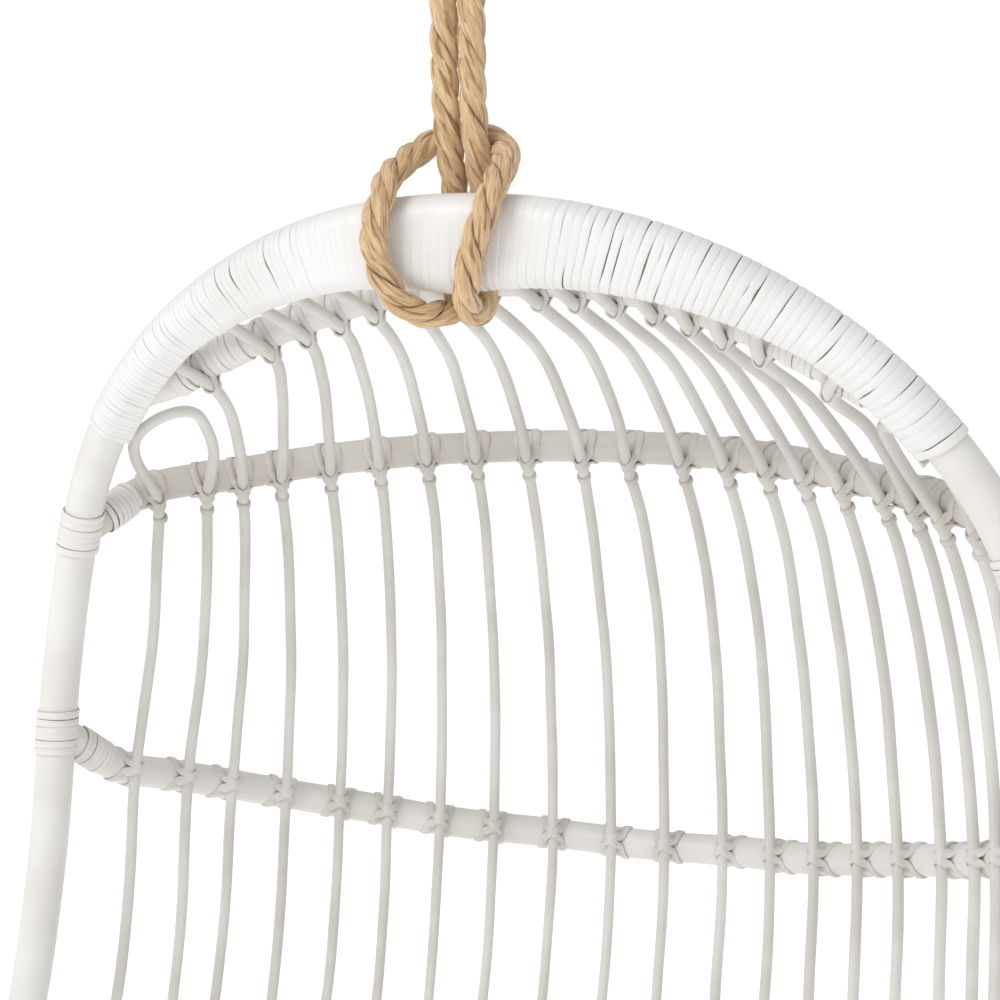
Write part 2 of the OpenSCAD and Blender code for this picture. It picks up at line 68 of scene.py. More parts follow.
RIM_ARCH = [
    [0, 0, 0], [90, 4, -9], [178, 22, -39], [257, 45, -89], [318, 70, -154], [358, 92, -231],
    [382, 98, -346], [389, 84, -490],
]
RIM_FRONT = [
    [0, -430, -990], [92, -423, -988], [180, -399, -978], [262, -347, -958], [322, -270, -924],
    [362, -179, -868], [383, -87, -792], [391, -6, -706], [390, 48, -615],
]
ARCH_LINE = [[0, 106, -38], [60, 105, -41], [120, 99, -52], [175, 90, -71], [225, 83, -93], [261, 79, -112]]
UPPER, LOWER, WAIST, SEAT_BACK, SEAT_MID, SEAT_FRONT = range(6)
ROW_NAMES = ["upper", "lower", "waist", "seat_back", "seat_mid", "seat_front"]
LINES = [
    [[0, 306, -183], [70, 302, -184], [140, 274, -187], [210, 231, -194], [270, 193, -204],
     [320, 146, -213], [354, 92, -224]],
    [[0, 400, -521], [76, 396, -518], [150, 359, -507], [220, 321, -491], [280, 281, -475],
     [330, 206, -449], [350, 150, -431], [384, 92, -407]],
    [[0, 350, -758], [77, 345, -755], [150, 315, -745], [220, 281, -729], [284, 240, -712],
     [336, 168, -690], [362, 112, -673], [391, 29, -648]],
    [[0, 230, -965], [70, 226, -963], [140, 208, -956], [210, 174, -944], [270, 120, -925],
     [320, 44, -898], [352, -35, -868], [374, -129, -829]],
    [[0, 15, -1042], [75, 11, -1040], [145, -6, -1031], [210, -42, -1014], [262, -90, -990],
     [304, -154, -958], [337, -240, -908]],
    [[0, -225, -1030], [75, -228, -1028], [145, -237, -1020], [200, -252, -1008], [240, -270, -992],
     [274, -284, -968], [302, -298, -937]],
]
CROSSINGS = [
    [320, 292, 270, 244, 210, 176, 142, 106, 66, 20],
    [349, 331, 310, 280, 242, 206, 166, 124, 77, 24],
    [360, 337, 316, 284, 246, 208, 168, 126, 78, 25],
    [345, 322, 294, 263, 229, 194, 156, 116, 73, 24],
    [0, 0, 284, 254, 223, 190, 153, 114, 72, 24],
    [0, 0, 0, 238, 214, 184, 150, 113, 72, 24],
]
FRONT_AT = [355, 320, 274, 244, 214, 184, 151, 113, 72, 24]
ARCH_AT = [0, 0, 241, 192, 164, 138, 110, 79, 49, 20]
BACK_CENTRE = np.array([0, 60, -420.0])
SEAT_CENTRE = np.array([0, 40, -560.0])
CENTRES = [BACK_CENTRE, BACK_CENTRE, SEAT_CENTRE, SEAT_CENTRE, SEAT_CENTRE, SEAT_CENTRE]
LOOP_TOP = [
    [318, 128, -194], [313, 102, -175], [304, 87, -158], [289, 86, -145], [271, 93, -137],
    [263, 109, -139], [266, 132, -154], [273, 152, -172], [285, 167, -194],
]
ROW_BOW = [[0, 8, 0], [0, 16, -8], [0, 6, -17], [0, -1, -12]]
HOOP_REACH = HOOP_R + CANE_R + GAP
ARCH_REACH = ARCH_R + CANE_R + GAP
RIM_REACH = RIM_R + CANE_R + GAP
STRAP_CROWN = 0.85
FILLER_MOST_R = 16.4
FILLER_END_X = 240
WRAP_END_X = 314

EYE_HALF = [
    [0.3, 0, 38], [14, 0, 35.3], [26, 0, 27.7], [34.5, 0, 16], [38, 0, 1], [35.5, 0, -13.5],
    [28, 0, -29], [19.5, 0, -46], [12.5, 0, -60], [9.8, 0, -72],
]
HITCH = [
    [-9.8, 0, 150], [-9.8, 1, 100], [-9.8, 4, 68], [-9.8, 11, 42], [-9.8, 19, 18], [-9.8, 20.5, -4],
    [-9.8, 20.5, -32], [-8.5, 15, -56], [-11.5, 3, -62], [-19, -12, -63], [-28, -26, -56.5],
    [-35, -35, -45], [-42, -37, -29], [-44, -37, -14], [-43, -36.5, 0], [-41, -32, 13], [-41, -20, 27],
    [-40, -3, 36], [-36, 13, 45], [-26, 24, 53], [-8, 30, 57], [9, 30, 55], [24, 20, 48], [33, 4, 39],
    [37, -14, 30], [37, -32, 15], [33, -37.5, -2], [28, -37.5, -15], [24.5, -37, -28],
    [21.5, -35.5, -44], [17, -23, -58], [15, -5, -62], [14, 12, -56], [12, 20, -36], [10, 20.5, -12],
    [9.8, 19, 18], [9.8, 11, 42], [9.8, 4, 68], [9.8, 1, 100], [9.8, 0, 150],
]


# ---- vectors and curves ----

def unit(v):
    v = np.asarray(v, float)
    return v / np.maximum(np.linalg.norm(v, axis=-1, keepdims=True), 1e-12)


def across(v, along):
    v = np.asarray(v, float)
    return unit(v - (v * along).sum(-1, keepdims=True) * along)


def curve(points, steps, loop=False):
    """A smooth curve through the points, with that many steps between each two."""
    p = np.array(points, float)
    n = len(p)
    if loop:
        p = np.concatenate([p[-1:], p, p[:2]])
    else:
        p = np.concatenate([2 * p[:1] - p[1:2], p, 2 * p[-1:] - p[-2:-1]])
    t = np.arange(steps)[None, :, None] / steps
    spans = n if loop else n - 1
    a, b, c, d = (p[k:k + spans, None, :] for k in range(4))
    out = 0.5 * (2 * b + (c - a) * t + (2 * a - 5 * b + 4 * c - d) * t**2 + (3 * b - a - 3 * c + d) * t**3)
    out = out.reshape(-1, 3)
    return out if loop else np.concatenate([out, p[-2:-1]])


def lengths(path):
    """Distance along a path at each of its points."""
    return np.concatenate([[0], np.cumsum(np.linalg.norm(np.diff(path, axis=0), axis=1))])


def even(path, spacing, loop=False):
    """The same path with evenly spaced points. A loop's last point isn't repeated."""
    path = np.array(path, float)
    if loop:
        path = np.concatenate([path, path[:1]])
    s = lengths(path)
    n = max(3, int(round(s[-1] / spacing)))
    t = np.linspace(0, s[-1], n + 1)
    out = np.stack([np.interp(t, s, path[:, k]) for k in range(3)], 1)
    return out[:-1] if loop else out


def ways(path, loop=False):
    if loop:
        return unit(np.roll(path, -1, 0) - np.roll(path, 1, 0))
    return unit(np.gradient(path, axis=0))


def carried(path, start, loop=False):
    """Direction, side and third vector at each point of a path, carried along it without twist."""
    along = ways(path, loop)
    side = np.empty_like(along)
    v = across(start, along[0])
    for i, a in enumerate(along):
        v = across(v, a)
        side[i] = v
    if loop:
        end = across(v, along[0])
        third = np.cross(along[0], side[0])
        turn = math.atan2(float(end @ third), float(end @ side[0]))
        angle = -turn * np.arange(len(path))[:, None] / len(path)
        side = side * np.cos(angle) + np.cross(along, side) * np.sin(angle)
    return along, side, np.cross(along, side)


def both_sides(half):
    half = np.array(half, float)
    return np.concatenate([half[:0:-1] * [-1, 1, 1], half])


def placed(points):
    return np.asarray(points, float) + RIM_TOP


def at(half, x):
    fine = curve(half, 12)
    return np.array([x, np.interp(x, fine[:, 0], fine[:, 1]), np.interp(x, fine[:, 0], fine[:, 2])])


def along_at(half, x):
    return unit(at(half, x + 4) - at(half, x - 4))


def waves(s, wavelengths, sizes):
    """A smooth random wave along a length."""
    out = np.zeros_like(s, float)
    for wave, size in zip(wavelengths, sizes):
        out += size * np.sin(2 * np.pi * s / wave + rng.uniform(0, 2 * np.pi))
    return out


# ---- meshes ----

class Skin:
    """Gathers grids of points, in mm, into one mesh with a UV map in metres and a painted-shade value at each
    point.
    """

    def __init__(self):
        self.points, self.corners, self.sizes, self.uvs, self.painted_shade = [], [], [], [], []
        self.count = 0

    def grid(self, points, around, along, painted_shade=0.0, loop=False, caps=True):
        """Skins rings of points that each close on themselves.

        around is the length round a ring, and along is each ring's place on the path.
        """
        points = np.asarray(points, float)
        rings, sides = points.shape[:2]
        i = np.arange(rings if loop else rings - 1)[:, None]
        k = np.arange(sides)[None, :]
        j, m = (i + 1) % rings, (k + 1) % sides
        base = self.count
        corners = (i * sides + k, i * sides + m, j * sides + m, j * sides + k)
        quads = np.stack(np.broadcast_arrays(*corners), -1)
        along = np.asarray(along, float)
        end = along[-1] + (along[-1] - along[-2]) if loop else 0
        v = np.concatenate([along, [end]])
        u = np.arange(sides + 1) / sides * around
        uv = np.stack([
            np.stack(np.broadcast_arrays(u[k], v[i]), -1),
            np.stack(np.broadcast_arrays(u[k + 1], v[i]), -1),
            np.stack(np.broadcast_arrays(u[k + 1], v[i + 1]), -1),
            np.stack(np.broadcast_arrays(u[k], v[i + 1]), -1),
        ], 2)
        self.points.append(points.reshape(-1, 3))
        self.corners.append(quads.reshape(-1) + base)
        self.sizes.append(np.full(quads.shape[0] * quads.shape[1], 4))
        self.uvs.append(uv.reshape(-1, 2))
        self.painted_shade.append(np.broadcast_to(np.asarray(painted_shade, float), (rings, sides)).reshape(-1))
        self.count += rings * sides
        if caps and not loop:
            for ring, flip in ((0, True), (rings - 1, False)):
                corner = np.arange(sides) + base + ring * sides
                self.corners.append(corner[::-1] if flip else corner)
                self.sizes.append(np.array([sides]))
                self.uvs.append(np.stack([u[:-1], np.full(sides, v[ring])], 1))

    def build(self, name, material, nodes=(), body="chair"):
        mesh = bpy.data.meshes.new(name)
        points = np.concatenate(self.points) * MM
        corners = np.concatenate(self.corners)
        sizes = np.concatenate(self.sizes)
        mesh.vertices.add(len(points))
        mesh.vertices.foreach_set("co", points.reshape(-1).astype(np.float32))
        mesh.loops.add(len(corners))
        mesh.loops.foreach_set("vertex_index", corners.astype(np.int32))
        mesh.polygons.add(len(sizes))
        starts = np.concatenate([[0], np.cumsum(sizes)[:-1]])
        mesh.polygons.foreach_set("loop_start", starts.astype(np.int32))
        layer = mesh.uv_layers.new(name="UVMap")
        layer.data.foreach_set("uv", (np.concatenate(self.uvs) * MM).reshape(-1).astype(np.float32))
        painted_shade = mesh.attributes.new("painted_shade", "FLOAT", "POINT")
        painted_shade.data.foreach_set("value", np.concatenate(self.painted_shade).astype(np.float32))
        mesh.update(calc_edges=True)
        mesh.validate()
        mesh.shade_smooth()
        mesh.materials.append(material)
        piece = bpy.data.objects.new(name, mesh)
        bpy.context.scene.collection.objects.link(piece)
        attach(piece, body)
        if nodes:
            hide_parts(*nodes)
        return piece


def tube(skin, path, radius, sides, start, loop=False, round_ends=True):
    """A round pole along a path. radius is one number or a list with one for each point."""
    path = np.asarray(path, float)
    radius = np.broadcast_to(np.asarray(radius, float), (len(path),)).copy()
    if not loop and round_ends:
        r0, r1 = radius[0], radius[-1]
        t = ways(path)
        path = np.concatenate([[path[0] - 0.25 * r0 * t[0]], path, [path[-1] + 0.25 * r1 * t[-1]]])
        radius = np.concatenate([[0.82 * r0], radius, [0.82 * r1]])
    along, side, third = carried(path, start, loop)
    a = 2 * np.pi * np.arange(sides) / sides
    rings = path[:, None] + radius[:, None, None] * (
        np.cos(a)[None, :, None] * side[:, None] + np.sin(a)[None, :, None] * third[:, None])
    skin.grid(rings, 2 * np.pi * radius.mean(), lengths(path), loop=loop)


def strip(skin, path, out, wide, thick, points, crown, loop=False):
    """A flat strip of peel along a path that lies on a surface; out points away from the surface."""
    path = np.asarray(path, float)
    along = ways(path, loop)
    out = across(out, along)
    side = np.cross(along, out)
    wide = np.broadcast_to(np.asarray(wide, float), (len(path),))
    thick = np.broadcast_to(np.asarray(thick, float), (len(path),))
    a = 2 * np.pi * np.arange(points) / points
    crown = np.broadcast_to(np.asarray(crown, float), (len(path),))[:, None]
    h = 0.5 * np.sign(np.cos(a)) * np.abs(np.cos(a)) ** crown * thick[:, None]
    w = 0.5 * np.sign(np.sin(a)) * np.abs(np.sin(a)) ** 0.7 * wide[:, None]
    rings = path[:, None] + h[..., None] * out[:, None] + w[..., None] * side[:, None]
    skin.grid(rings, 2 * wide.mean(), lengths(path), loop=loop)


# ---- materials ----

def shader(name):
    material = bpy.data.materials.new(name)
    material.use_nodes = True
    return material, material.node_tree, material.node_tree.nodes["Principled BSDF"]


def add(tree, kind, inputs=None, **settings):
    n = tree.nodes.new(kind)
    for key, value in settings.items():
        setattr(n, key, value)
    for key, value in (inputs or {}).items():
        if isinstance(value, bpy.types.NodeSocket):
            tree.links.new(value, n.inputs[key])
        else:
            n.inputs[key].default_value = value
    return n


def scaled(tree, vector, size):
    return add(tree, "ShaderNodeMapping", {"Vector": vector, "Scale": size}).outputs[0]


def noise(tree, vector, scale, detail=4.0, roughness=0.6):
    inputs = {"Vector": vector, "Scale": scale, "Detail": detail, "Roughness": roughness}
    return add(tree, "ShaderNodeTexNoise", inputs).outputs["Fac"]


def ramp(tree, value, low, high, dark=0.0, light=1.0):
    inputs = {"Value": value, "From Min": low, "From Max": high, "To Min": dark, "To Max": light}
    return add(tree, "ShaderNodeMapRange", inputs, interpolation_type="SMOOTHSTEP").outputs["Result"]


def mix(tree, amount, a, b, blend="MIX"):
    n = add(tree, "ShaderNodeMix", data_type="RGBA", blend_type=blend)
    for socket, value in ((n.inputs[0], amount), (n.inputs[6], a), (n.inputs[7], b)):
        if isinstance(value, bpy.types.NodeSocket):
            tree.links.new(value, socket)
        else:
            socket.default_value = value
    return n.outputs[2]


def math_node(tree, operation, a, b):
    return add(tree, "ShaderNodeMath", {0: a, 1: b}, operation=operation).outputs[0]


def painted(name, light, shade, crack_and_shade_colour, grain, rough, reach, crack=0.0):
    """White paint over rattan: faint patches, lengthwise grain, thin brown cracks when crack is set, and
    painted shade: brown in the crevices that an ambient-occlusion mask finds.
    """
    material, tree, bsdf = shader(name)
    uv = add(tree, "ShaderNodeTexCoord").outputs["UV"]
    place = add(tree, "ShaderNodeTexCoord").outputs["Object"]
    patches = ramp(tree, noise(tree, place, 9.0, 3.0), 0.36, 0.66)
    colour = mix(tree, patches, light, shade)
    fibre = noise(tree, scaled(tree, uv, (1500.0, 38.0, 1.0)), 1.0, 3.0)
    streak = noise(tree, scaled(tree, uv, (420.0, 14.0, 1.0)), 1.0, 2.0)
    colour = mix(tree, ramp(tree, streak, 0.5, 0.78, 0.0, 0.35), colour, shade)
    if crack:
        thin = ramp(tree, fibre, 0.66, 0.72, 0.0, crack)
        colour = mix(tree, thin, colour, crack_and_shade_colour)
    # painted shade: where the ambient-occlusion mask finds a crevice the paint turns brown, broken up by
    # speckle
    ao = add(tree, "ShaderNodeAmbientOcclusion", {"Distance": reach}, samples=6).outputs["AO"]
    crevice_shade = ramp(tree, ao, 0.55, 0.12, 0.0, 0.75)
    speckle = ramp(tree, noise(tree, place, 160.0, 3.0), 0.35, 0.6, 0.25, 1.0)
    colour = mix(tree, math_node(tree, "MULTIPLY", crevice_shade, speckle), colour, crack_and_shade_colour)
    tree.links.new(colour, bsdf.inputs["Base Color"])
    tree.links.new(ramp(tree, streak, 0.3, 0.7, rough - 0.07, rough + 0.08), bsdf.inputs["Roughness"])
    height = math_node(tree, "ADD", fibre, math_node(tree, "MULTIPLY", streak, 1.4))
    bump = add(tree, "ShaderNodeBump", {"Strength": grain, "Distance": 0.0004, "Height": height})
    tree.links.new(bump.outputs[0], bsdf.inputs["Normal"])
    bsdf.inputs["Coat Weight"].default_value = 0.12
    bsdf.inputs["Coat Roughness"].default_value = 0.35
    return material


BROWN = (0.26, 0.17, 0.10, 1)
POLE = painted("painted_pole", (0.78, 0.765, 0.735, 1), (0.71, 0.69, 0.65, 1), BROWN, 0.30, 0.46, 0.003)
# painted shade: the upper hoop gets a darker copy of the rim's paint, for the shade under the wrapped arch
BACK_SHADED = painted("painted_back_shaded", (0.66, 0.635, 0.59, 1), (0.56, 0.53, 0.475, 1), BROWN, 0.30, 0.46, 0.003)
# painted shade: the canes get a darker, warmer copy of the rim's paint, for the shade inside the basket
CANE_SHADED = painted("painted_cane", (0.70, 0.685, 0.65, 1), (0.60, 0.58, 0.54, 1), BROWN, 0.28, 0.44, 0.003)
PEEL = painted("painted_peel", (0.80, 0.795, 0.785, 1), (0.745, 0.735, 0.72, 1), BROWN, 0.40, 0.42, 0.0018)
LASH = painted(
    "painted_lashing", (0.72, 0.70, 0.665, 1), (0.63, 0.60, 0.555, 1), BROWN, 0.45, 0.45, 0.002, 0.2)
# painted shade: the upper lashings get a darker copy of the lashing paint, for the shade under the wrapped
# arch
BACK_LASH_SHADED = painted(
    "back_lashing_shaded", (0.655, 0.63, 0.585, 1), (0.57, 0.53, 0.48, 1), BROWN, 0.45, 0.45, 0.002, 0.25)
WORN = painted("worn_peel", (0.80, 0.785, 0.76, 1), (0.72, 0.69, 0.65, 1), BROWN, 0.55, 0.5, 0.003, 0.3)
# a dark sleeve under the wrap: brown cane and painted shade showing in the gaps between the turns
CORE_SHADE = painted("arch_core", (0.34, 0.31, 0.28, 1), (0.24, 0.20, 0.17, 1), BROWN, 0.5, 0.7, 0.003)


def rope_material(name, light, mid, dark, skew, across_scale, along_scale):
    material, tree, bsdf = shader(name)
    uv = add(tree, "ShaderNodeTexCoord").outputs["UV"]
    place = add(tree, "ShaderNodeTexCoord").outputs["Object"]
    parts = add(tree, "ShaderNodeSeparateXYZ", {0: uv})
    slid = math_node(tree, "ADD", parts.outputs[0], math_node(tree, "MULTIPLY", parts.outputs[1], skew))
    yarn_uv = add(tree, "ShaderNodeCombineXYZ", {0: slid, 1: parts.outputs[1]}).outputs[0]
    fibre = noise(tree, scaled(tree, yarn_uv, (across_scale, along_scale, 1.0)), 1.0, 5.0, 0.7)
    yarn = noise(tree, scaled(tree, yarn_uv, (across_scale * 0.33, along_scale * 0.4, 1.0)), 1.0, 3.0)
    patches = noise(tree, place, 38.0, 3.0)
    # partly the fibres' own tone, partly painted light: raised fibres are painted pale and golden like a
    # highlight, and the hollows between yarns are painted dark like shade
    colour = mix(tree, ramp(tree, fibre, 0.34, 0.62), mid, light)
    colour = mix(tree, ramp(tree, yarn, 0.50, 0.36, 0.0, 0.85), colour, dark)
    colour = mix(tree, ramp(tree, patches, 0.5, 0.7, 0.0, 0.35), colour, (0.62, 0.40, 0.22, 1))
    pale_fibre_and_highlight = ramp(tree, fibre, 0.58, 0.74, 0.0, 0.75)
    colour = mix(tree, pale_fibre_and_highlight, colour, (0.90, 0.75, 0.53, 1))
    # painted shade: the rope turns near black in the grooves between its strands
    groove = add(tree, "ShaderNodeAttribute", attribute_name="painted_shade").outputs["Fac"]
    deep = ramp(tree, groove, 0.35, 1.0, 0.0, 0.85)
    colour = mix(tree, deep, colour, (0.12, 0.062, 0.025, 1))
    tree.links.new(colour, bsdf.inputs["Base Color"])
    bsdf.inputs["Roughness"].default_value = 0.72
    bsdf.inputs["Sheen Weight"].default_value = 0.25
    bsdf.inputs["Sheen Roughness"].default_value = 0.5
    height = math_node(tree, "ADD", fibre, math_node(tree, "MULTIPLY", yarn, 1.6))
    bump = add(tree, "ShaderNodeBump", {"Strength": 0.75, "Distance": 0.0009, "Height": height})
    tree.links.new(bump.outputs[0], bsdf.inputs["Normal"])
    return material


ROPE = rope_material(
    "laid_rope", (0.76, 0.55, 0.32, 1), (0.52, 0.325, 0.16, 1), (0.28, 0.145, 0.055, 1), -0.5, 820.0, 46.0)
TWINE = rope_material(
    "twine", (0.62, 0.43, 0.25, 1), (0.48, 0.31, 0.16, 1), (0.30, 0.17, 0.08, 1), 1.0, 2200.0, 240.0)


def steel_material(name, colour, rough, brushed):
    material, tree, bsdf = shader(name)
    place = add(tree, "ShaderNodeTexCoord").outputs["Object"]
    lines = noise(tree, scaled(tree, place, brushed), 1.0, 4.0)
    cloud = noise(tree, place, 60.0, 4.0)
    spots = ramp(tree, noise(tree, place, 420.0, 2.0), 0.63, 0.72, 0.0, 0.35)
    worn = mix(tree, ramp(tree, cloud, 0.35, 0.7), colour, tuple(0.82 * c for c in colour[:3]) + (1,))
    worn = mix(tree, spots, worn, (0.16, 0.15, 0.14, 1))
    edge = add(tree, "ShaderNodeNewGeometry").outputs["Pointiness"]
    worn = mix(tree, ramp(tree, edge, 0.52, 0.58, 0.0, 0.5), worn, (0.82, 0.82, 0.81, 1))
    tree.links.new(worn, bsdf.inputs["Base Color"])
    bsdf.inputs["Metallic"].default_value = 1.0
    spread = math_node(tree, "ADD", ramp(tree, lines, 0.3, 0.7, rough - 0.08, rough + 0.1), spots)
    tree.links.new(spread, bsdf.inputs["Roughness"])
    bump = add(tree, "ShaderNodeBump", {"Strength": 0.2, "Distance": 0.0002, "Height": lines})
    tree.links.new(bump.outputs[0], bsdf.inputs["Normal"])
    return material


PLATE_STEEL = steel_material("plate_steel", (0.55, 0.55, 0.54, 1), 0.36, (900.0, 30.0, 30.0))
FORGED_STEEL = steel_material("forged_steel", (0.50, 0.50, 0.495, 1), 0.42, (60.0, 60.0, 500.0))
PIN_STEEL = steel_material("pin_steel", (0.62, 0.62, 0.61, 1), 0.28, (700.0, 700.0, 60.0))
THIMBLE_STEEL = steel_material("thimble_steel", (0.66, 0.66, 0.65, 1), 0.32, (300.0, 300.0, 300.0))

STEEL = {
    "ceiling_plate": PLATE_STEEL, "swing_pin": PIN_STEEL, "hanger_yoke": FORGED_STEEL,
    "swivel_fork": FORGED_STEEL, "swivel_nut": PIN_STEEL, "eye_pin": PIN_STEEL,
    "rope_thimble": THIMBLE_STEEL,
}
for node, material in STEEL.items():
    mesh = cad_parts[node].data
    mesh.materials.clear()
    mesh.materials.append(material)

# ---- rope ----

route = np.concatenate([
    np.array(EYE_HALF) * [-1, 1, 1] + [0, 0, EYE_Z],
    np.array(HITCH) + [0, 0, RIM_TOP[2]],
    np.array(EYE_HALF)[::-1] + [0, 0, EYE_Z],
])
rope_line = even(curve(route, 8), 1.5)
ROPE_TWIST = 63.0
STRAND_AT = 0.245 * ROPE_D
STRAND_DEEP = 0.255 * ROPE_D
STRAND_WIDE = 0.285 * ROPE_D


def make_rope():
    skin = Skin()
    s = lengths(rope_line)
    along, side, third = carried(rope_line, (0, 1, 0))
    sides = 26
    a = 2 * np.pi * np.arange(sides) / sides
    for strand in range(3):
        turn = -2 * np.pi * s / ROPE_TWIST + 2 * np.pi * strand / 3 + waves(s, [190, 83], [0.16, 0.07])
        out = np.cos(turn)[:, None] * side + np.sin(turn)[:, None] * third
        centre = rope_line + STRAND_AT * out
        t = ways(centre)
        x = across(out, t)
        y = np.cross(t, x)
        yarns = 0.040 * np.cos(8 * a[None] - (0.72 * s)[:, None] + strand) \
            + 0.018 * np.cos(5 * a[None] - (0.45 * s)[:, None] + 2 * strand)
        r = (1 + waves(s, [41, 17], [0.02, 0.014])[:, None]) * (1 + yarns)
        rings = centre[:, None] + r[..., None] * (
            STRAND_DEEP * np.cos(a)[None, :, None] * x[:, None]
            + STRAND_WIDE * np.sin(a)[None, :, None] * y[:, None])
        # painted shade in the grooves: the nearer a point lies to the rope's middle, the darker it is painted
        away = np.linalg.norm(rings - rope_line[:, None], axis=2) / (0.5 * ROPE_D)
        painted_shade = np.clip((0.90 - away) / 0.22, 0, 1)
        skin.grid(rings, np.pi * (STRAND_DEEP + STRAND_WIDE), lengths(centre) + 300 * strand, painted_shade)
    return skin.build("laid_hemp_rope", ROPE, ["hanging_rope"])


def make_fuzz():
    skin = Skin()
    along, side, third = carried(rope_line, (0, 1, 0))
    for _ in range(760):
        i = int(rng.integers(40, len(rope_line) - 40))
        angle = rng.uniform(0, 2 * np.pi)
        out = math.cos(angle) * side[i] + math.sin(angle) * third[i]
        root = rope_line[i] + 0.46 * ROPE_D * out
        lean = out * rng.uniform(0.15, 0.8) + along[i] * rng.choice([-1, 1]) + 0.5 * rng.normal(size=3)
        bend = 0.7 * rng.normal(size=3)
        size = rng.uniform(2.5, 7.5)
        t = np.linspace(0, 1, 5)[:, None]
        path = root + size * (t * unit(lean) + t**2 * 0.5 * bend)
        tube(skin, path, 0.10 * (1 - 0.6 * t[:, 0]), 3, (0.3, 0.5, 0.8), round_ends=False)
    return skin.build("rope_fuzz", ROPE)


def make_seizing():
    """Thin twine round both parts of the rope, under the eye, with two crossing turns between the parts."""
    skin = Skin()
    top, height, thick = EYE_Z - 75.5, 31.0, 2.1
    turns = int(height / thick)
    half = ROPE_D / 2 + 0.4
    r = ROPE_D / 2 + 0.9
    n = 48
    f = np.arange(turns * n + 1) / n
    total = 4 * half + 2 * np.pi * r
    d = (f % 1) * total
    points, outs = [], []
    for q in d:
        if q < 2 * half:
            points.append([half - q, -r])
            outs.append([0, -1])
        elif q < 2 * half + np.pi * r:
            b = -np.pi / 2 - (q - 2 * half) / r
            points.append([-half + r * math.cos(b), r * math.sin(b)])
            outs.append([math.cos(b), math.sin(b)])
        elif q < 4 * half + np.pi * r:
            points.append([-half + (q - 2 * half - np.pi * r), r])
            outs.append([0, 1])
        else:
            b = np.pi / 2 - (q - 4 * half - np.pi * r) / r
            points.append([half + r * math.cos(b), r * math.sin(b)])
            outs.append([math.cos(b), math.sin(b)])
    points = np.array(points)
    path = np.column_stack([points, top - f * thick - 0.2])
    tube(skin, path, 1.12, 8, (0, 0, 1))
    for part_side in (-1, 1):
        b = np.linspace(0, 2 * np.pi, 41)[:-1]
        heights = top - height / 2 + (height / 2 + 0.6) * np.cos(b)
        ring = np.column_stack([np.full(40, 0.9 * part_side), (r + 1.2) * np.sin(b), heights])
        tube(skin, ring, 1.05, 8, (1, 0, 0), loop=True)
    return skin.build("rope_seizing_twine", TWINE, ["rope_seizing"])


rope = make_rope()
fuzz = make_fuzz()
seizing = make_seizing()

# ---- poles ----

rim_half = np.array(RIM_ARCH + RIM_FRONT[::-1], float)
rim_left = rim_half[len(rim_half) - 2:0:-1] * [-1, 1, 1]
rim_line = curve(np.concatenate([rim_half, rim_left]), 3, loop=True)
rim_fine = curve(np.concatenate([rim_half, rim_left]), 16, loop=True)


def uneven(path, radius, size=0.012):
    s = lengths(path)
    return radius * (1 + waves(s, [310, 127, 58], [size, 0.6 * size, 0.3 * size]))


def wandering(path, size):
    """The path moved a little sideways along its length, as a hand-bent pole is."""
    s = lengths(path)
    along, side, third = carried(path, (0.2, 0.3, 0.9))
    ease = np.clip(np.minimum(s, s[-1] - s) / 40, 0, 1)[:, None]
    return path + ease * (waves(s, [260, 110], [size, 0.5 * size])[:, None] * side
                          + waves(s, [230, 95], [size, 0.5 * size])[:, None] * third)


def inward(line, x, centre):
    return across(centre - at(line, x), along_at(line, x))


def hoop_half(row, reach_in=0.0):
    """A hoop's centreline, outside the canes, from its middle to the rim; reach_in runs it into the rim."""
    line, centre = LINES[row], CENTRES[row]
    join = rim_line[np.argmin(np.linalg.norm(rim_line - line[-1], axis=1))]
    body = [np.array(p, float) - HOOP_REACH * inward(line, p[0], centre) for p in line[:-1]]
    end = join + (RIM_R + 8.8 - reach_in) * unit(body[-1] - join)
    return np.array(body + [end])


skin = Skin()
rim_path = even(placed(rim_fine), 6.0, loop=True)
rim_swell = 0.008 * np.sin(np.arange(len(rim_path)) * 2 * np.pi * 9 / len(rim_path))
tube(skin, rim_path, RIM_R * (1 + rim_swell), 28, (0, 1, 0), loop=True)
skin.build("rim_pole", POLE, ["rim"])

skin = Skin()
arch_ends = ARCH_LINE + [[281, 66, -120]]
arch_fine = even(placed(curve(both_sides(arch_ends), 12)), 5.0)
tube(skin, arch_fine, uneven(arch_fine, ARCH_R), 22, (0, 0, 1))
skin.build("back_arch_pole", POLE, ["back_arch"])

for row in range(6):
    skin = Skin()
    path = even(placed(curve(both_sides(hoop_half(row, 14.0)), 12)), 5.0)
    tube(skin, path, uneven(path, HOOP_R), 24, (0, 0, 1))
    # the upper hoop takes the darker paint: painted shade under the arch
    paint = BACK_SHADED if row == UPPER else POLE
    skin.build(ROW_NAMES[row] + "_hoop_pole", paint, [ROW_NAMES[row] + "_hoop"])


# ---- canes ----

def row_point(row, i):
    return at(LINES[row], CROSSINGS[row][i])


def last_row(i):
    return max(row for row in range(WAIST, 6) if CROSSINGS[row][i] > 0)


def front_rest(i):
    x = FRONT_AT[i]
    return at(RIM_FRONT, x) + RIM_REACH * across([-x / 400, 0.4, 0.8], along_at(RIM_FRONT, x))


